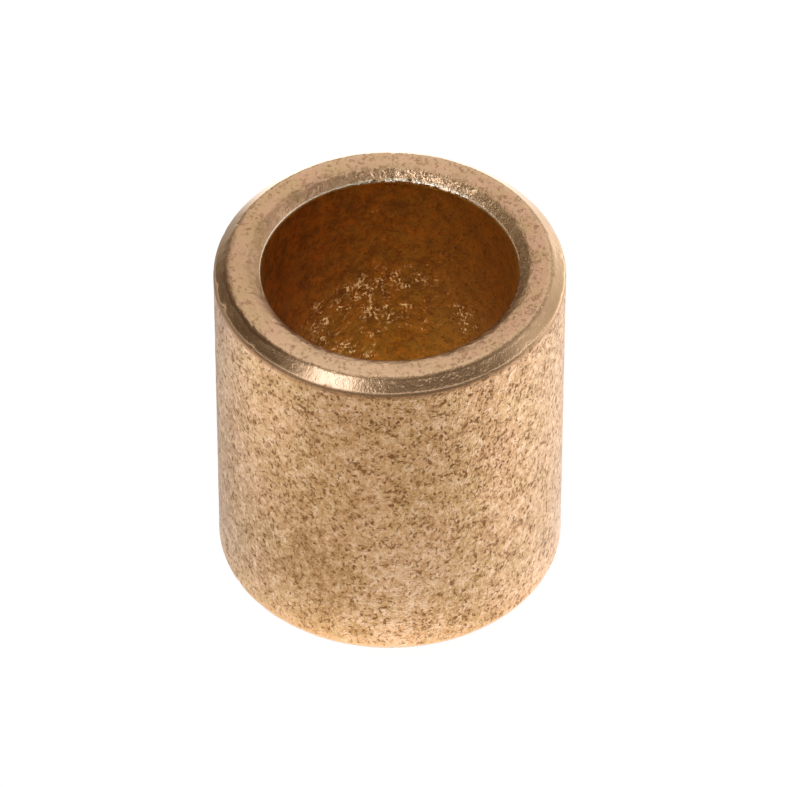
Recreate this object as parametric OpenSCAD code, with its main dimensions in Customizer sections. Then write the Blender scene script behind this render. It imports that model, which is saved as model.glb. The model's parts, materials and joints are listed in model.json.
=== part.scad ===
// Plain cylindrical sleeve bushing of sintered bronze: one tube with a chamfer
// on all four of its rims. Millimetres, +Z along the shaft axis, origin at the
// centre of the lower end face. Both ends are the same.

/* [Sleeve] */
// Diameter of the running bore
bore_d = 8; // [6:0.5:9]
// Outside diameter, the one that is pressed into the housing
outside_d = 11; // [10:0.5:14]
// Overall length, from end face to end face
length = 12; // [6:0.5:24]

/* [Edges] */
// Width of each outer chamfer across the end face, as a share of the wall
outer_chamfer_share = 0.29; // [0.1:0.01:0.35]
// Width of each bore chamfer across the end face, as a share of the wall
bore_chamfer_share = 0.25; // [0.1:0.01:0.35]
// Slope of the chamfers, measured from the end face in degrees
chamfer_slope = 40; // [20:1:50]
// Radius that blends each chamfer into its wall, as a share of the wall
blend_share = 0.13; // [0.03:0.01:0.15]

/* [Hidden] */
$fn = 128;

bore_r = bore_d / 2;
outside_r = outside_d / 2;
wall = outside_r - bore_r;
blend_r = blend_share * wall;

// A blend touches the chamfer and the wall this far from where they would meet
blend_reach = blend_r * tan((90 - chamfer_slope) / 2);

bronze = [0.74, 0.57, 0.42];

// Depth below the end face at which a chamfer of this width would meet its wall
function chamfer_depth(width) = width * tan(chamfer_slope);

// One rim's outline in radius and depth, from the end face to the wall.
// side is 1 at the outside wall and -1 at the bore.
function rim(wall_r, side, width) = [
    [wall_r - side * width, 0],
    [
        wall_r - side * blend_reach * cos(chamfer_slope),
        chamfer_depth(width) - blend_reach * sin(chamfer_slope)
    ],
    [wall_r, chamfer_depth(width) + blend_reach]
];

// Centre of the arc that touches both the chamfer and the wall
function blend_centre(wall_r, side, width) = [
    wall_r - side * blend_r,
    chamfer_depth(width) + blend_reach
];

// The upper half of the cross-section, in radius and depth below the end face
module half_section() {
    outer_width = outer_chamfer_share * wall;
    bore_width = bore_chamfer_share * wall;
    outer_rim = rim(outside_r, 1, outer_width);
    bore_rim = rim(bore_r, -1, bore_width);
    middle = [[outside_r, length / 2], [bore_r, length / 2]];

    polygon(concat(outer_rim, middle, [for (i = [2:-1:0]) bore_rim[i]]));
    translate(blend_centre(outside_r, 1, outer_width)) circle(blend_r);
    translate(blend_centre(bore_r, -1, bore_width)) circle(blend_r);
}

// The full cross-section: two halves that are mirror images about mid-length
module section() {
    half_section();
    translate([0, length]) mirror([0, 1]) half_section();
}

// The whole bushing, one solid of revolution
module sleeve() {
    color(bronze) rotate_extrude() section();
}

sleeve();
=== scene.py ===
import json
import math
from types import SimpleNamespace

import bpy
import numpy as np
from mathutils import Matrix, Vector, noise


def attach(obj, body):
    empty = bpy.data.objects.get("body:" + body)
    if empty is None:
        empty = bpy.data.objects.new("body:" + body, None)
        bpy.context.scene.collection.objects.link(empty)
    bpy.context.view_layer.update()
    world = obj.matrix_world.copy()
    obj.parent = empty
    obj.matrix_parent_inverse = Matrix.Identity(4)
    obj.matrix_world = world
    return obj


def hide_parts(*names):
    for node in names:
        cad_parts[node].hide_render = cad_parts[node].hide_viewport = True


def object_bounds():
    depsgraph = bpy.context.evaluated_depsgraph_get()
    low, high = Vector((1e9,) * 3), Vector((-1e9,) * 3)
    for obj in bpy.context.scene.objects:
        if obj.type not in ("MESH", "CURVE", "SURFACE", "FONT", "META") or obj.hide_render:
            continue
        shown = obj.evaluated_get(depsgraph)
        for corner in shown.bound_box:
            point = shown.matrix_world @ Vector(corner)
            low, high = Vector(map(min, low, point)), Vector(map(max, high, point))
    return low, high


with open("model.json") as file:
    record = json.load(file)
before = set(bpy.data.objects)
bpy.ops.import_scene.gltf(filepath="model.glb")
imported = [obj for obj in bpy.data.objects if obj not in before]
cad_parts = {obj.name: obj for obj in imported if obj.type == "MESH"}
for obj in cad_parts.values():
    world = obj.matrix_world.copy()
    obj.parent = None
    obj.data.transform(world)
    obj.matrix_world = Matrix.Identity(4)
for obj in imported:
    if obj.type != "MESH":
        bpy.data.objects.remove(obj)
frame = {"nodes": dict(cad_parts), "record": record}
cad_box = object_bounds()

MM = 0.001

# The bushing's radii and the height of its top, in millimetres
RADII = {mount["name"]: mount["dims"].get("r_mm") for mount in frame["record"]["mounts"]}
BORE_RADIUS = RADII["bore"]
OUTSIDE_RADIUS = RADII["outside"]
TOP = cad_box[1].z / MM

# The chamfers' slope from the end face. Every other size of the outline comes from the CAD sleeve.
CHAMFER_SLOPE = math.radians(40)

# The mesh: steps round the axis, and steps along each zone of half the outline
TURN_STEPS = 440
RUN_STEPS = {
    "bore": 25,
    "bore_lip": 6,
    "bore_chamfer": 10,
    "face": 14,
    "outer_chamfer": 10,
    "outer_lip": 6,
    "outer": 39,
}
# The zones between a wall and an end face
CHAMFERS = ["bore_lip", "bore_chamfer", "outer_chamfer", "outer_lip"]

# The worn corners of the end faces, in millimetres: half the width of the round at the bore's side
# and outside, how much wider it is on the left, and how far round (degrees) that left part spreads
BORE_SIDE_ROUND = 0.26
OUTER_ROUND = 0.09
LEFT_ROUND = 0.1
LEFT_SPREAD = 45

# Waves of the surface, in millimetres: their mean depth, and how much it varies slowly and quickly
CHAMFER_WAVES = (0.006, 0.005, 0.001)
WALL_WAVES = (0.004, 0.005)
WALL_PITS = 0.010
BORE_WAVES = 0.002
FACE_WAVES = 0.003

# The beads along the back of the bore's rim: their depth like that of waves, and their place and
# spread round the axis in degrees
BEADS = {"depth": (0.01, 0.02), "lumps": 7.0, "place": 80, "spread": 38}

# Nicks in the rims and dents in the outside wall: how many, how wide and how deep in millimetres
SEED = 11
NICKS = {"count": 70, "width": (0.05, 0.13), "depth": (0.01, 0.035)}
DENTS = {"count": 60, "width": (0.12, 0.3), "depth": (0.005, 0.02)}

# Soft patches of the metal, each from blobs: strength, place (degrees, millimetres) and spread.
# Most stand for painted light or shade: the glints in the bore, the light at the front and back of the
# top, the shade on its left and right, and a reflection and a shade low on the outside wall.
# A blob at the top is on the upper end face and its chamfers.
PATCHES = {
    "glints": [
        (0.8, (128, 5.7), (12, 1.1)),
        (0.8, (108, 6.9), (13, 0.9)),
        (0.8, (82, 7.5), (19, 0.7)),
        (0.8, (90, 5.9), (15, 0.7)),
        (0.8, (54, 6.4), (12, 0.7)),
        (0.8, (110, 4.4), (18, 0.8)),
    ],
    "behind": [(1.0, (75, TOP), (30, 3))],
    "pale": [(1.0, (-105, TOP), (38, 3)), (0.6, (85, TOP), (36, 3))],
    "left_face_shade": [(1.0, (178, TOP), (30, 3))],
    "shaded": [(1.0, (5, TOP), (42, 3))],
    "left_chamfer_shade": [(1.0, (-158, TOP), (34, 3))],
    "wall_reflection": [(1.0, (-86, 2.6), (22, 3.2))],
    "wall_shade": [(1.0, (-114, 3.6), (13, 1.9))],
}

# The painted highlight along the bore's lip, a line of pale base colour. Round the axis, in degrees: its
# middle, and how far from there it starts to fade and ends. Up from the bore's wall, in millimetres: where
# it starts and ends, and how much later it ends at the back. Its flat, at the front and at the back:
# middle and half width.
EDGE_LINE = {
    "middle": 120,
    "fade": (66, 98),
    "start": (0.08, 0.095),
    "end": (0.175, 0.16),
    "later_end": 0.06,
    "flat_middle": (0.128, 0.155),
    "flat_half": (0.04, 0.085),
}

# The camera's angle above the horizon, its distance, its lens, and where it looks from mid-object
CAMERA_ELEVATION = math.radians(44.74)
CAMERA_DISTANCE = 235.4 * MM
CAMERA_LENS = 340
SENSOR_WIDTH = 36
AIM_OFFSET = Vector((0.116, 0, 0.285)) * MM


# ---------------------------------------------------------------- the outline

def cad_outline():
    """Radii and heights of the CAD sleeve's walls and end faces, read from its mesh."""
    node = frame["nodes"]["sleeve"]
    co = np.array([v.co for v in node.data.vertices])
    radius = np.hypot(co[:, 0], co[:, 1])
    height = co[:, 2]
    top = height.max()
    near = 0.002 * MM
    on_top = radius[height > top - near]
    outer = radius.max()
    bore = radius.min()
    return {
        "outer": outer,
        "bore": bore,
        "length": top - height.min(),
        "ring_in": on_top.min(),
        "ring_out": on_top.max(),
        "outer_wall_top": height[radius > outer - near].max(),
        "bore_wall_top": height[radius < bore + near].max(),
    }


def arc(centre, radius, start, end, steps):
    """Points on an arc, from the start angle to the end angle, both included."""
    angles = np.linspace(start, end, steps + 1)
    return np.stack([centre[0] + radius * np.cos(angles), centre[1] + radius * np.sin(angles)], 1)


def straight(a, b, steps, crowded=False):
    """Points from a to b, both included. Crowded ones stand a little closer towards both ends."""
    share = np.linspace(0, 1, steps + 1)
    if crowded:
        share = 0.75 * share + 0.25 * (1 - np.cos(math.pi * share)) / 2
    a, b = np.array(a), np.array(b)
    return a + (b - a) * share[:, None]


def blend_radius(width, end_depth):
    """Radius of the arc between a chamfer and its wall, from the depth where the arc ends."""
    return (end_depth - width * math.tan(CHAMFER_SLOPE)) / math.tan((math.pi / 2 - CHAMFER_SLOPE) / 2)


def half_outline(size):
    """The upper half of the section as (zone, points) runs, from mid-bore to mid-height outside."""
    top, middle = size["length"], size["length"] / 2
    bore_w = size["ring_in"] - size["bore"]
    outer_w = size["outer"] - size["ring_out"]
    bore_r = blend_radius(bore_w, top - size["bore_wall_top"])
    outer_r = blend_radius(outer_w, top - size["outer_wall_top"])
    tilt = math.pi / 2 - CHAMFER_SLOPE
    n = RUN_STEPS
    bore_centre = (size["bore"] + bore_r, size["bore_wall_top"])
    outer_centre = (size["outer"] - outer_r, size["outer_wall_top"])
    bore_arc = arc(bore_centre, bore_r, math.pi, math.pi - tilt, n["bore_lip"])
    outer_arc = arc(outer_centre, outer_r, tilt, 0, n["outer_lip"])
    ring_in, ring_out = (size["ring_in"], top), (size["ring_out"], top)
    return [
        ("bore", straight((size["bore"], middle), bore_arc[0], n["bore"])),
        ("bore_lip", bore_arc),
        ("bore_chamfer", straight(bore_arc[-1], ring_in, n["bore_chamfer"], crowded=True)),
        ("face", straight(ring_in, ring_out, n["face"], crowded=True)),
        ("outer_chamfer", straight(ring_out, outer_arc[0], n["outer_chamfer"], crowded=True)),
        ("outer_lip", outer_arc),
        ("outer", straight(outer_arc[-1], (size["outer"], middle), n["outer"])),
    ]


def full_outline(size):
    """The closed section: points (radius, height), and for each point its zone's name."""
    points, zones = [], []
    upper = half_outline(size)
    lower = [(zone, run[::-1] * (1, -1) + (0, size["length"])) for zone, run in reversed(upper)]
    for zone, run in upper + lower:
        points.append(run[:-1])
        zones += [zone] * (len(run) - 1)
    return np.concatenate(points), np.array(zones)


def along(outline):
    """How far each point is along the outline, and the whole way round."""
    steps = np.linalg.norm(np.roll(outline, -1, 0) - outline, axis=1)
    return np.concatenate([[0], np.cumsum(steps)[:-1]]), steps.sum()


def reach(outline, inside):
    """Each ring's distance along the outline to the edge of a part of it: below 0 outside that part."""
    place, _ = along(outline)
    borders = place[inside != np.roll(inside, 1)]
    distance = np.abs(place[:, None] - borders[None, :]).min(1)
    return np.where(inside, distance, -distance)


# ---------------------------------------------------------------- the mesh

def turned(outline):
    """The outline turned round the Z axis: each ring's points in turn."""
    angles = np.linspace(0, 2 * math.pi, TURN_STEPS, endpoint=False)
    radius = outline[:, 0][:, None]
    height = np.repeat(outline[:, 1][:, None], TURN_STEPS, 1)
    return np.stack([radius * np.cos(angles), radius * np.sin(angles), height], -1).reshape(-1, 3)


def outward(outline):
    """Unit normals of the outline, pointing out of the metal."""
    tangent = np.roll(outline, -1, 0) - np.roll(outline, 1, 0)
    normal = np.stack([-tangent[:, 1], tangent[:, 0]], 1)
    return normal / np.linalg.norm(normal, axis=1)[:, None]


def turned_normals(outline, points):
    """The outline's normals, turned to each point's own angle."""
    flat = np.repeat(outward(outline), TURN_STEPS, 0)
    angle = np.arctan2(points[:, 1], points[:, 0])
    return np.stack([flat[:, 0] * np.cos(angle), flat[:, 0] * np.sin(angle), flat[:, 1]], 1)


def noise_at(points, scale, octaves=2):
    """Smooth noise from about -1 to 1, in lumps of about 1/scale millimetres."""
    return np.array([noise.fractal(Vector(p) * scale, 1.0, 2.0, octaves) for p in points / MM])


def smooth(value, low, high):
    """Runs smoothly from 0 at low to 1 at high."""
    share = np.clip((value - low) / (high - low), 0, 1)
    return share * share * (3 - 2 * share)


def marks(points, places, kind, rng):
    """Depth of small round marks, in millimetres, around points picked from places."""
    depth = np.zeros(len(points))
    for centre in points[rng.choice(places, kind["count"], replace=False)] / MM:
        width = rng.uniform(*kind["width"])
        deepest = rng.uniform(*kind["depth"])
        distance = np.linalg.norm(points / MM - centre, axis=1)
        depth = np.maximum(depth, deepest * np.exp(-((distance / width) ** 2)))
    return depth


def rounded(distance, half_width):
    """How deep a round lies below a chamfer's corner, starting half its width to either side of it."""
    return math.tan(CHAMFER_SLOPE / 2) / 2 * np.maximum(0, half_width - np.abs(distance)) ** 2 / half_width


def corner_round(points, corner, angle, slow, quick):
    """Depth of the worn corners between the end faces and the chamfers: uneven, and wider on the left."""
    radius = np.hypot(points[:, 0], points[:, 1])
    inside = radius < (radius.min() + radius.max()) / 2
    left = np.exp(-(((np.abs(angle) - 180) / LEFT_SPREAD) ** 2))
    half_width = np.where(inside, BORE_SIDE_ROUND, OUTER_ROUND + LEFT_ROUND * left)
    return rounded(corner, half_width * np.clip(1 + 0.8 * slow + 0.5 * quick, 0.4, 1.5))


def bead_depth(points, zone, corner, lip, angle):
    """Depth of the hollows between the beads at the back of the bore's rim."""
    back = np.exp(-(((angle - BEADS["place"]) / BEADS["spread"]) ** 2))
    on_rim = np.isin(zone, ["bore_chamfer", "bore_lip"])
    on_rim = on_rim * smooth(corner, 0, 0.25) * smooth(lip, -0.03, 0.05)
    mean, change = BEADS["depth"]
    return on_rim * back * (mean + change * noise_at(points, BEADS["lumps"], 1))


def wear(points, zone, corner, lip, angle):
    """How far the surface lies below the CAD outline, in millimetres."""
    rng = np.random.default_rng(SEED)
    slow = noise_at(points, 1.3)
    quick = noise_at(points, 5.0)

    # The rims: worn corners, beads, and waves along the chamfers
    rounding = corner_round(points, corner, angle, slow, quick)
    beads = bead_depth(points, zone, corner, lip, angle)
    on_chamfer = smooth(corner, 0, 0.25) * smooth(lip, 0, 0.15)
    mean, slow_change, quick_change = CHAMFER_WAVES
    waves = on_chamfer * (mean + slow_change * slow + quick_change * quick)

    # The outside wall's waves and pits, and the faint waves of the bore and the end faces
    wall = zone == "outer"
    mean, slow_change = WALL_WAVES
    ripple = wall * smooth(-lip, 0, 0.5) * (mean + slow_change * slow)
    pits = wall * smooth(-lip, 0.1, 0.5) * WALL_PITS * smooth(quick, 0.25, 0.6)
    bore = (zone == "bore") * BORE_WAVES * (1 + slow)
    face = (zone == "face") * smooth(-corner, 0, 0.1) * FACE_WAVES * (1 + quick)

    rims = np.flatnonzero((np.abs(corner) < 0.03) | ((np.abs(lip) < 0.15) & (zone == "outer_lip")))
    nicks = marks(points, rims, NICKS, rng)
    dents = marks(points, np.flatnonzero(wall), DENTS, rng)
    return np.maximum(0, rounding + waves + beads + ripple + pits + bore + face + nicks + dents)


def lathe_mesh(name, points, rings):
    """A closed quad mesh from rings of TURN_STEPS points each."""
    ring = np.arange(rings)[:, None] * TURN_STEPS
    next_ring = np.roll(ring, -1)
    step = np.arange(TURN_STEPS)[None, :]
    next_step = np.roll(step, -1)
    quads = [ring + step, ring + next_step, next_ring + next_step, next_ring + step]
    quads = np.stack(quads, -1).reshape(-1, 4)
    mesh = bpy.data.meshes.new(name)
    mesh.from_pydata(points.tolist(), [], quads.tolist())
    mesh.shade_smooth()
    return mesh


def unwrap(mesh, outline):
    """One flat UV sheet: once round the axis is its width, once round the outline is its height."""
    place, total = along(outline)
    low = np.repeat(place[:, None] / total, TURN_STEPS, 1)
    high = np.repeat(np.append(place[1:], total)[:, None] / total, TURN_STEPS, 1)
    left = np.broadcast_to(np.arange(TURN_STEPS) / TURN_STEPS, low.shape)
    right = left + 1 / TURN_STEPS
    corners = [(left, low), (right, low), (right, high), (left, high)]
    uv = np.stack([np.stack(corner, -1) for corner in corners], 2)
    mesh.uv_layers.new(name="OFBake").data.foreach_set("uv", uv.astype(np.float32).ravel())


def paint(mesh, name, values):
    """A point attribute with one value for each vertex."""
    mesh.attributes.new(name, "FLOAT", "POINT").data.foreach_set("value", values.astype(np.float32))


def blob(angle, height, centre, spread):
    """A soft round patch of a wall: 1 at the centre (degrees, millimetres), fading over the spread."""
    turn = (angle - centre[0] + 180) % 360 - 180
    return np.exp(-((turn / spread[0]) ** 2) - ((height - centre[1]) / spread[1]) ** 2)


def sleeve():
    """The bushing: the CAD outline turned round its axis, worn by a few hundredths of a millimetre."""
    outline, zones = full_outline(cad_outline())
    points = turned(outline)
    zone = np.repeat(zones, TURN_STEPS)
    # Millimetres from the end face's edge (below 0 on the face), and from the wall's (below 0 on the wall)
    corner = np.repeat(reach(outline, zones != "face"), TURN_STEPS) / MM
    lip = np.repeat(reach(outline, np.isin(zones, CHAMFERS + ["face"])), TURN_STEPS) / MM
    angle = np.degrees(np.arctan2(points[:, 1], points[:, 0]))
    height = points[:, 2] / MM
    normal = turned_normals(outline, points)
    worn = points - normal * (wear(points, zone, corner, lip, angle) * MM)[:, None]

    mesh = lathe_mesh("sleeve_bronze", worn, len(outline))
    unwrap(mesh, outline)
    paint(mesh, "corner", corner)
    paint(mesh, "lip", lip)
    paint(mesh, "face", (zone == "face") | (zone == "bore_chamfer"))
    paint(mesh, "inner", np.isin(zone, ["bore", "bore_lip", "bore_chamfer"]))
    for name, blobs in PATCHES.items():
        shares = [strength * blob(angle, height, centre, spread) for strength, centre, spread in blobs]
        paint(mesh, name, sum(shares))
    off_middle = np.abs((angle - EDGE_LINE["middle"] + 180) % 360 - 180)
    paint(mesh, "line", 1 - smooth(off_middle, *EDGE_LINE["fade"]))
    mesh.materials.append(bronze())
    obj = bpy.data.objects.new("sleeve_bronze", mesh)
    bpy.context.scene.collection.objects.link(obj)
    return obj


# ---------------------------------------------------------------- the materials

class Graph:
    """Short calls for building a node tree. An input is a number, a tuple or another node's output."""

    def __init__(self, tree):
        self.tree = tree

    def node(self, kind, inputs=(), output=0, **settings):
        """Adds a node with these inputs and settings, and returns one of its outputs."""
        made = self.tree.nodes.new(kind)
        for key, value in settings.items():
            setattr(made, key, value)
        for key, value in dict(inputs).items():
            if isinstance(value, bpy.types.NodeSocket):
                self.tree.links.new(value, made.inputs[key])
            else:
                made.inputs[key].default_value = value
        return made.outputs[output]

    def math(self, operation, a, b=0.0):
        return self.node("ShaderNodeMath", {0: a, 1: b}, operation=operation)

    def add(self, a, b):
        return self.math("ADD", a, b)

    def sub(self, a, b):
        return self.math("SUBTRACT", a, b)

    def mul(self, a, b):
        return self.math("MULTIPLY", a, b)

    def ramp(self, value, low, high, start=0.0, end=1.0, kind="LINEAR"):
        """Runs in a straight line from start at value low to end at value high, and stays there."""
        inputs = {"Value": value, "From Min": low, "From Max": high, "To Min": start, "To Max": end}
        return self.node("ShaderNodeMapRange", inputs, interpolation_type=kind)

    def step(self, value, low, high, start=0.0, end=1.0):
        """Runs smoothly from start at value low to end at value high, and stays there."""
        return self.ramp(value, low, high, start, end, "SMOOTHSTEP")

    def mix(self, share, a, b):
        """Number a, turning into number b as share goes from 0 to 1."""
        return self.node("ShaderNodeMix", {0: share, 2: a, 3: b}, data_type="FLOAT")

    def colour(self, share, a, b):
        """Colour a, turning into colour b as share goes from 0 to 1."""
        return self.node("ShaderNodeMix", {0: share, 6: a, 7: b}, output=2, data_type="RGBA")

    def noise(self, at, scale, detail=2.0, roughness=0.5, distortion=0.0):
        """Noise from 0 to 1, mostly near 0.5, with about scale lumps to a millimetre."""
        inputs = {"Vector": at, "Scale": scale, "Detail": detail}
        inputs.update({"Roughness": roughness, "Distortion": distortion})
        return self.node("ShaderNodeTexNoise", inputs)

    def scaled(self, vector, factors):
        return self.node("ShaderNodeVectorMath", {0: vector, 1: factors}, operation="MULTIPLY")

    def millimetres(self):
        """The place in the object, in millimetres."""
        return self.scaled(self.node("ShaderNodeTexCoord", output="Object"), (1 / MM, 1 / MM, 1 / MM))

    def axis(self, vector, name):
        """The vector's X, Y or Z."""
        return self.node("ShaderNodeSeparateXYZ", {0: vector}, output=name)

    def from_axis(self, vector):
        """How far a place is from the object's Z axis."""
        flat = self.scaled(vector, (1, 1, 0))
        return self.node("ShaderNodeVectorMath", {0: flat}, output="Value", operation="LENGTH")

    def dot(self, a, b):
        return self.node("ShaderNodeVectorMath", {0: a, 1: b}, output="Value", operation="DOT_PRODUCT")

    def attribute(self, name):
        return self.node("ShaderNodeAttribute", output="Fac", attribute_name=name)


# Base colours of the outside wall's open metal, and of the painted shade below the upper outer chamfer
PALE_YELLOW = (0.61, 0.365, 0.16, 1)
PALE_PINK = (0.63, 0.36, 0.172, 1)
BRIGHT = (0.88, 0.61, 0.39, 1)
PORE = (0.23, 0.085, 0.012, 1)
LIP_SHADE = (0.40, 0.20, 0.085, 1)

# Base colours of the end faces and the chamfers, with painted light at the front and back of the top and
# painted shade on its left and right
FACE = (0.70, 0.455, 0.245, 1)
FACE_PINK = (0.76, 0.455, 0.29, 1)
FACE_LIT = (0.88, 0.595, 0.375, 1)
FACE_SHADE = (0.52, 0.34, 0.19, 1)
SHADED = (0.36, 0.22, 0.10, 1)
CHAMFER = (0.68, 0.44, 0.23, 1)
POLISHED = (0.66, 0.43, 0.25, 1)
CHAMFER_SHADE = (0.42, 0.25, 0.13, 1)

# Base colours of the bore, its painted light and glints, and the painted highlight on its lip and beads
BORE_GOLD = (0.535, 0.23, 0.022, 1)
BORE_RED = (0.64, 0.222, 0.013, 1)
BORE_LIT = (0.74, 0.36, 0.045, 1)
BORE_GLINT = (0.95, 0.62, 0.27, 1)
BORE_PORE = (0.24, 0.075, 0.006, 1)
LIP_HIGHLIGHT = (0.97, 0.80, 0.58, 1)
BEAD_HIGHLIGHT = (1.0, 0.88, 0.68, 1)

# A radius in the middle of the end face, which parts the bore's side from the outside, and the
# radius of the round between a chamfer and its wall, both in millimetres
MID_FACE = BORE_RADIUS + 0.7
LIP_ROUND = 0.195


def places(g):
    """Where a point of the metal is, in millimetres, and its share in each zone, from 0 to 1."""
    p = SimpleNamespace()
    p.at = g.millimetres()
    p.out = g.from_axis(p.at)
    p.across = g.axis(p.at, "X")
    p.up = g.axis(p.at, "Z")
    p.corner, p.lip = g.attribute("corner"), g.attribute("lip")
    p.inner, p.face, p.behind = g.attribute("inner"), g.attribute("face"), g.attribute("behind")
    p.pale = g.attribute("pale")
    p.ragged = g.mul(g.sub(g.noise(p.at, 8.0, 2, 0.7), 0.5), 0.22)
    p.bore = g.mul(p.inner, g.step(p.lip, 0.1, 0.06))
    off_face = g.step(g.add(p.corner, p.ragged), -0.035, 0.045)
    off_wall = g.step(g.add(p.lip, g.mul(p.ragged, 0.4)), -0.05, 0.04)
    bore_side = g.mul(g.step(p.out, MID_FACE, MID_FACE - 0.1), g.step(p.lip, 0.14, 0.2, 0.0, 0.92))
    p.dull = g.mul(bore_side, off_face)
    p.polished = g.mul(g.mul(off_face, off_wall), g.sub(1.0, bore_side))
    return p


def grains(g, p):
    """The sintered metal: its grains, its small pits, and its pores where the pits crowd together."""
    s = SimpleNamespace()
    tall = g.scaled(p.at, (1, 0.82, 0.78))
    s.crowd = g.noise(p.at, 1.5, 2, 0.6)
    s.grain = g.noise(tall, 4.0, 2.6, 1.0)
    s.pits = g.noise(tall, 8.5, 1.0, 0.6, 0.5)
    s.pores = g.step(g.add(s.pits, g.mul(g.sub(s.crowd, 0.5), 0.3)), 0.5, 0.76)
    return s


def face_colour(g, p):
    """The end faces and bore chamfers: painted light at the front and back, and painted shade on the right
    and left.
    """
    metal = g.colour(g.step(g.noise(p.at, 1.0, 3, 0.6), 0.4, 0.6), FACE, FACE_PINK)
    metal = g.colour(g.mul(p.dull, g.step(p.across, -3.0, 1.0)), metal, CHAMFER)
    # Painted light: the top is paler at the front and at the back
    metal = g.colour(g.mul(p.pale, 0.8), metal, FACE_LIT)
    # Painted shade: the bore chamfer is darker on the right
    metal = g.colour(g.mul(p.dull, g.mul(g.attribute("shaded"), 0.9)), metal, SHADED)
    # Painted shade: the face is darker on the left
    return g.colour(g.mul(g.attribute("left_face_shade"), 0.3), metal, FACE_SHADE)


def open_colour(g, p, s):
    """The open, porous metal of the outside wall and the end faces, smoother at the foot, with a painted
    reflection and a painted shade low on the wall and a painted highlight on the face's outer rim.
    """
    openness = g.mul(g.mix(p.face, 1.0, 0.35), g.step(p.up, 0.1, 1.5, 0.5, 1.0))
    # Painted reflection: a paler patch low on the front of the wall
    wall_reflection = g.mul(g.attribute("wall_reflection"), g.ramp(g.noise(p.at, 1.2, 2, 0.6), 0.35, 0.6, 0.4, 1.2))
    tone = g.sub(g.sub(g.mul(s.grain, 4.6), 2.3), g.mul(g.sub(s.crowd, 0.5), 0.9))
    tone = g.add(g.mul(tone, openness), g.mul(wall_reflection, 0.35))
    # Painted shade: a darker patch low on the front left of the wall
    tone = g.sub(tone, g.mul(g.attribute("wall_shade"), 0.4))

    metal = g.colour(g.step(g.noise(p.at, 0.6, 2, 0.6), 0.35, 0.65), PALE_YELLOW, PALE_PINK)
    metal = g.colour(g.mul(p.face, 0.9), metal, face_colour(g, p))
    metal = g.colour(g.ramp(tone, 0.0, 0.9), metal, BRIGHT)
    metal = g.colour(g.ramp(tone, 0.0, -1.4), metal, PORE)
    metal = g.colour(g.mul(g.mul(s.pores, 0.8), openness), metal, PORE)

    # Painted highlight: the face's outer rim is paler, except on the left
    rim = g.mul(g.step(g.add(p.corner, p.ragged), -0.2, -0.04), g.step(p.out, MID_FACE, MID_FACE + 0.1))
    rim = g.mul(rim, g.mul(p.face, g.step(p.across, -4.8, -3.0)))
    return g.colour(g.mul(rim, 0.5), metal, BRIGHT)


def lip_shade(g, p):
    """Painted shade: the dark line below the upper outer chamfer."""
    under = g.mul(g.step(p.lip, -0.16, -0.04), g.step(p.lip, 0.12, 0.04))
    return g.mul(g.mul(g.sub(1.0, p.inner), under), g.step(p.up, 7.0, 10.0, 0.0, 0.75))


def bore_grains(g, p):
    """Where the bore's metal stands open: painted glints, a paler base colour that stands in for the
    highlights of its grains, and the hollows between them.
    """
    cluster = g.add(g.mul(g.sub(g.noise(p.at, 3.2, 2), 0.5), 2.6), g.attribute("glints"))
    worms = g.noise(g.scaled(p.at, (1, 1, 0.7)), 11.5, 2.0, 0.65)
    worms = g.add(worms, g.mul(g.sub(g.noise(p.at, 4.5, 1), 0.5), 0.45))
    glints = g.mul(g.step(cluster, 0.35, 1.05), g.step(worms, 0.5, 0.6))
    hollows = g.mul(g.step(cluster, 0.2, 0.8), g.step(worms, 0.47, 0.38))
    return glints, hollows


def bore_colour(g, p, s, glints, hollows):
    """The bore, burnished by the sizing pin: gold and red, dark pores, and painted light on the right,
    paler and more ochre.
    """
    metal = g.colour(g.step(g.noise(p.at, 1.6, 5, 0.75), 0.4, 0.6), BORE_GOLD, BORE_RED)
    metal = g.colour(g.step(g.noise(p.at, 2.2, 6, 0.85), 0.6, 0.38, 0.0, 0.75), metal, BORE_PORE)
    # Painted light: the bore is paler and more ochre towards the right
    metal = g.colour(g.step(p.across, 0.0, 4.4, 0.0, 0.45), metal, BORE_LIT)
    metal = g.colour(g.mul(g.step(s.pits, 0.58, 0.72), 0.5), metal, BORE_PORE)
    metal = g.colour(g.mul(hollows, 0.35), metal, BORE_PORE)
    # Painted glints: a paler base colour stands in for the highlights of the grains
    return g.colour(g.mul(glints, 0.75), metal, BORE_GLINT)


def edge_line(g, p):
    """The painted highlight along the bore's lip, a pale line, and the gaps that part it into beads at the
    back.
    """
    start = g.step(p.lip, *EDGE_LINE["start"])
    end = g.step(g.sub(p.lip, g.mul(p.behind, EDGE_LINE["later_end"])), *EDGE_LINE["end"])
    gaps = g.mul(g.step(p.behind, 0.1, 0.5), g.step(g.noise(p.at, 5.0, 0), 0.53, 0.43))
    line = g.mul(p.inner, g.mul(g.attribute("line"), g.mul(start, end)))
    return g.mul(line, g.sub(1.0, g.mul(gaps, 0.85))), gaps


def edge_flat(g, p, gaps):
    """Depth of the narrow flat that the sizing pin left along the bore's lip, below the lip's round."""
    off_line = g.sub(p.lip, g.mix(p.behind, *EDGE_LINE["flat_middle"]))
    half = g.mul(g.mix(p.behind, *EDGE_LINE["flat_half"]), g.sub(1.0, gaps))
    sag = g.math("MAXIMUM", g.sub(g.mul(half, half), g.mul(off_line, off_line)), 0.0)
    return g.mul(g.mul(p.inner, g.attribute("line")), g.mul(sag, 0.5 / LIP_ROUND))


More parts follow.
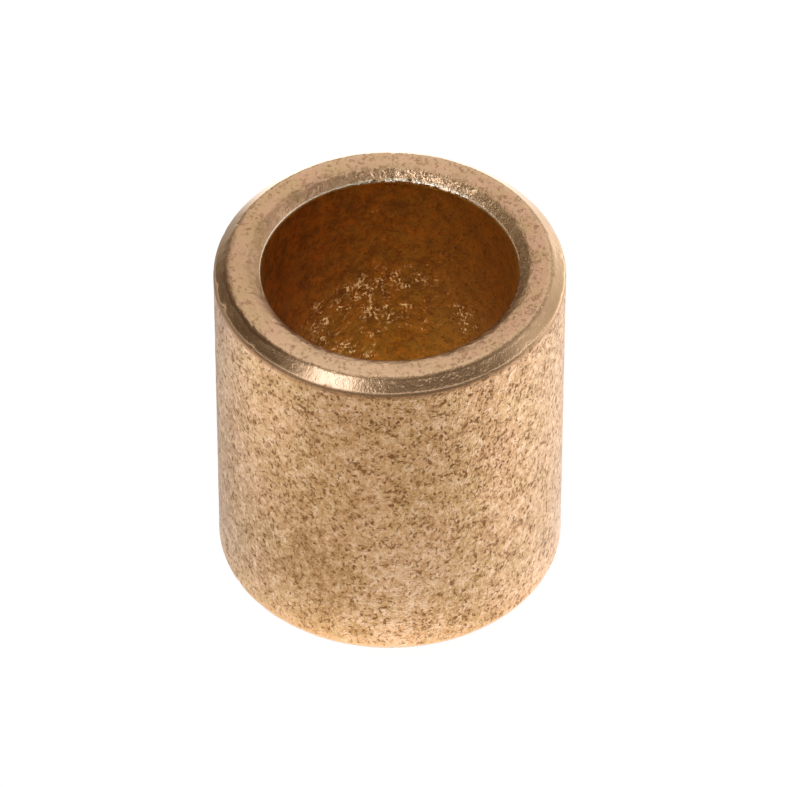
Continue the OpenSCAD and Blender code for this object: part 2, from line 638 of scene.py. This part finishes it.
def roughness(g, p, s, glints, line):
    """Rough where the metal is open, smooth on the polished chamfers, and in between in the bore."""
    rough = g.add(g.ramp(s.grain, 0.35, 0.65, 0.34, 0.48), g.mul(s.pores, 0.2))
    rough = g.mix(p.polished, rough, 0.17)
    uneven = g.ramp(g.noise(p.at, 3.5, 2, 0.6), 0.4, 0.62)
    rough = g.mix(p.dull, rough, g.mix(p.behind, g.mix(uneven, 0.3, 0.48), g.mix(uneven, 0.1, 0.28)))
    rough = g.add(rough, g.mul(p.polished, g.step(p.lip, 0.17, 0.07, 0.0, 0.3)))
    rough = g.mix(p.bore, rough, g.mix(glints, 0.58, 0.2))
    return g.mix(line, rough, g.step(p.behind, 0.0, 0.5, 0.3, 0.12))


def relief(g, p, s, glints, gaps):
    """Height of the fine relief, in millimetres: grains and pores, stronger towards the right."""
    height = g.sub(g.mul(g.sub(s.grain, 0.5), 0.055), g.mul(s.pores, 0.016))
    height = g.mul(height, g.step(p.across, -5.0, 5.0, 0.45, 1.6))
    height = g.mul(height, g.mix(p.polished, 1.0, g.mix(p.pale, 0.07, 0.22)))
    height = g.mul(height, g.mul(g.mix(p.bore, 1.0, 0.25), g.mix(p.face, 1.0, 0.4)))
    height = g.add(height, g.mul(p.bore, g.mul(glints, 0.008)))
    sparkle = g.mul(g.sub(g.noise(p.at, 4.6, 1), 0.5), g.mul(p.behind, 0.1))
    height = g.add(height, g.mul(p.dull, g.add(g.mul(g.sub(s.grain, 0.5), 0.02), sparkle)))
    return g.sub(height, edge_flat(g, p, gaps))


def bronze():
    """Sintered bronze: open outside, polished or dull on its chamfers, and burnished in its bore."""
    made = bpy.data.materials.new("sintered_bronze")
    made.use_nodes = True
    tree = made.node_tree
    shader = tree.nodes["Principled BSDF"]
    g = Graph(tree)
    p = places(g)
    s = grains(g, p)
    glints, hollows = bore_grains(g, p)
    line, gaps = edge_line(g, p)

    # Painted shade: the polished outer chamfer of the top is darker on the left
    smooth_colour = g.colour(g.mul(g.attribute("left_chamfer_shade"), 0.8), POLISHED, CHAMFER_SHADE)
    colour = g.colour(p.polished, open_colour(g, p, s), smooth_colour)
    # Painted shade below the upper outer chamfer
    colour = g.colour(lip_shade(g, p), colour, LIP_SHADE)
    colour = g.colour(p.bore, colour, bore_colour(g, p, s, glints, hollows))
    # Painted highlight: a pale line along the bore's lip, paler still on the beads at the back
    colour = g.colour(line, colour, g.colour(g.step(p.behind, 0.1, 0.5), LIP_HIGHLIGHT, BEAD_HIGHLIGHT))
    height = relief(g, p, s, glints, gaps)
    normal = g.node("ShaderNodeBump", {"Height": height, "Distance": MM, "Strength": 1.0})

    tree.links.new(colour, shader.inputs["Base Color"])
    tree.links.new(roughness(g, p, s, glints, line), shader.inputs["Roughness"])
    tree.links.new(normal, shader.inputs["Normal"])
    shader.inputs["Metallic"].default_value = 1
    return made


# ---------------------------------------------------------------- the stage

# Soft lights round the object: azimuth from +X, elevation, spread (all in degrees), and strength
LIGHTS = {
    "key": (-134, 52, 11.5, 2.7),
    "key_low": (-131, 26, 12, 1.7),
    "right": (44, -2, 31, 0.92),
    "back": (90, 42, 30, 0.88),
    "back_high": (90, 64, 9, 0.5),
    "top": (0, 90, 28, 0.3),
    "top_left": (146, 75, 13, 0.6),
    "back_left": (121, 3, 9, 0.25),
    "right_front": (8, 31, 18, 0.5),
}
# A thin bright band across the room. The camera sees it mirrored wherever the bronze faces this
# high above the horizon (degrees): along the lips below the chamfers. It fades at the back right.
BAND = {"facing": 43.5, "spread": 2.2, "strength": 1.1, "faded": 0.15}
AMBIENT = (0.112, 0.082, 0.056)
WHITE = (1, 1, 1, 1)

# Strong light is a little cooler: from where to where its strength counts, and what red, green
# and blue are multiplied by
COOLING = {"from": 0.8, "to": 2.5, "red": 0.97, "green": 1.06, "blue": 1.4}

# The floor's half width in metres, its own colour, how bright the camera sees it, and the tint
# of its light at the sides
FLOOR_HALF = 2.0
FLOOR_COLOUR = (0.05, 0.05, 0.05, 1)
FLOOR_SEEN = 0.98
FLOOR_TINT = (0.98, 1.03, 1.11, 1)


def direction(azimuth, elevation):
    a, e = math.radians(azimuth), math.radians(elevation)
    return (math.cos(a) * math.cos(e), math.sin(a) * math.cos(e), math.sin(e))


def to_camera():
    """The direction from the object to the camera."""
    return Vector((0, -math.cos(CAMERA_ELEVATION), math.sin(CAMERA_ELEVATION)))


def band(g, toward):
    """The strength of the thin band of light in each direction of the room."""
    halfway = g.node("ShaderNodeVectorMath", {0: toward, 1: to_camera()}, operation="ADD")
    halfway = g.node("ShaderNodeVectorMath", {0: halfway}, operation="NORMALIZE")
    centre = math.sin(math.radians(BAND["facing"]))
    width = math.sin(math.radians(BAND["spread"]))
    off = g.math("POWER", g.mul(g.math("ABSOLUTE", g.sub(g.axis(halfway, "Z"), centre)), 1 / width), 2.0)
    back_right = g.dot(toward, (1, 1, 0))
    strength = g.step(back_right, 1.05, 1.35, BAND["strength"], BAND["faded"])
    return g.mul(g.math("EXPONENT", g.mul(off, -1.0)), strength)


def studio():
    """A dim room with soft round lights. The camera itself sees plain white behind the object."""
    world = bpy.data.worlds.new("studio")
    bpy.context.scene.world = world
    world.use_nodes = True
    tree = world.node_tree
    g = Graph(tree)
    toward = g.node("ShaderNodeTexCoord", output="Generated")
    total = 0.0
    for azimuth, elevation, spread, strength in LIGHTS.values():
        sharpness = 1 / (1 - math.cos(math.radians(spread)))
        facing = g.dot(toward, direction(azimuth, elevation))
        glow = g.math("EXPONENT", g.mul(g.sub(facing, 1), sharpness))
        total = g.add(total, g.mul(glow, strength))
    total = g.add(total, band(g, toward))

    low, high = COOLING["from"], COOLING["to"]
    red = g.mul(total, COOLING["red"])
    green = g.mul(total, g.ramp(total, low, high, 1.0, COOLING["green"]))
    blue = g.mul(total, g.ramp(total, low, high, 1.0, COOLING["blue"]))
    cool = g.node("ShaderNodeCombineXYZ", {0: red, 1: green, 2: blue})
    lit = g.node("ShaderNodeVectorMath", {0: cool, 1: AMBIENT}, operation="ADD")
    camera_ray = g.node("ShaderNodeLightPath", output="Is Camera Ray")
    background = tree.nodes["Background"]
    tree.links.new(g.colour(camera_ray, lit, WHITE), background.inputs["Color"])
    background.inputs["Strength"].default_value = 1


def floor_glow(g, place, side):
    """How brightly the bronze mirrors the floor, by the distance from the axis in millimetres.

    side is from -1 on the left to 1 on the right, and 0 straight ahead and behind.
    """
    across, back, away = g.axis(place, "X"), g.axis(place, "Y"), g.from_axis(place)
    right = g.mul(g.step(side, 0.45, 1.05, 0.0, 0.8), g.step(away, 11.0, 17.0, 1.0, 1.3))
    left = g.mul(g.step(side, -0.35, -0.95, 0.0, 0.2), g.step(back, -5.0, 6.0, 1.0, 0.0))
    left = g.mul(left, g.step(away, 6.0, 9.0, 0.3, 1.0))
    far_left = g.mul(g.step(side, -0.75, -0.97), g.step(away, 12.0, 17.0, 0.0, 0.6))
    aside = g.math("POWER", g.math("ABSOLUTE", side), 3.0)
    near = g.mul(g.step(away, OUTSIDE_RADIUS, 8.0, 1.0, 0.0), g.sub(0.95, g.mul(aside, 0.85)))
    glow = g.add(g.add(0.9, right), g.add(g.add(left, far_left), near))

    # A dimmer ring between 6 and 12 mm, and brighter beyond
    dip = g.mul(g.step(away, 5.8, 7.2), g.step(away, 12.0, 9.0))
    glow = g.mul(g.mul(glow, g.step(away, 12.0, 16.0, 1.0, 1.1)), g.sub(1.0, g.mul(dip, 0.15)))

    # Far ahead of the bushing the floor is dark, and far behind it, it is a bright strip
    ahead = g.step(away, 22.0, 32.0, 1.0, 0.23)
    strip = g.mul(g.step(side, -0.2, -0.5, 1.0, 0.25), g.step(side, 0.08, 0.45, 1.0, 0.63))
    beyond = g.mul(g.step(away, 18.0, 30.0, 0.9, 2.0), g.mix(g.step(away, 14.0, 20.0), 1.0, strip))
    glow = g.mul(glow, g.mix(g.step(back, -4.0, 8.0), ahead, beyond))

    # The bushing's shadow under its lower chamfer, and the floor seen through the bore
    glow = g.mix(g.step(away, OUTSIDE_RADIUS - 0.17, OUTSIDE_RADIUS), 0.28, glow)
    in_bore = g.step(across, -3.0, 3.0, 0.84, 0.72)
    return g.mix(g.step(away, BORE_RADIUS + 0.2, BORE_RADIUS + 0.5), in_bore, glow)


def floor():
    """A white floor, lit from inside like a light table: evenly for the camera, and for the bronze
    that mirrors it more brightly to the right and close to the foot of the bushing."""
    h, z = FLOOR_HALF, cad_box[0].z
    mesh = bpy.data.meshes.new("floor")
    mesh.from_pydata([(-h, -h, z), (h, -h, z), (h, h, z), (-h, h, z)], [], [(0, 1, 2, 3)])
    made = bpy.data.materials.new("floor")
    made.use_nodes = True
    tree = made.node_tree
    g = Graph(tree)
    place = g.millimetres()
    side = g.math("DIVIDE", g.axis(place, "X"), g.from_axis(place))
    camera_ray = g.node("ShaderNodeLightPath", output="Is Camera Ray")
    tint = g.colour(g.step(g.math("ABSOLUTE", side), 0.4, 1.0), WHITE, FLOOR_TINT)
    shader = tree.nodes["Principled BSDF"]
    glow = g.mix(camera_ray, floor_glow(g, place, side), FLOOR_SEEN)
    tree.links.new(glow, shader.inputs["Emission Strength"])
    tree.links.new(g.colour(camera_ray, tint, WHITE), shader.inputs["Emission Color"])
    shader.inputs["Base Color"].default_value = FLOOR_COLOUR
    shader.inputs["Specular IOR Level"].default_value = 0
    mesh.materials.append(made)
    obj = bpy.data.objects.new("floor", mesh)
    bpy.context.scene.collection.objects.link(obj)


def camera():
    """A long lens at the photo's viewing angle, aimed near the middle of the bushing."""
    low, high = cad_box
    back = to_camera()
    data = bpy.data.cameras.new("camera")
    data.lens = CAMERA_LENS
    data.sensor_width = SENSOR_WIDTH
    data.clip_start = 1 * MM
    made = bpy.data.objects.new("camera", data)
    made.location = (low + high) / 2 + AIM_OFFSET + back * CAMERA_DISTANCE
    made.rotation_mode = "QUATERNION"
    made.rotation_quaternion = (-back).to_track_quat("-Z", "Y")
    bpy.context.scene.collection.objects.link(made)
    bpy.context.scene.camera = made


bushing = sleeve()
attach(bushing, "root")
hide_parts("sleeve")

camera()
floor()
studio()
bpy.context.scene.view_settings.view_transform = "Standard"
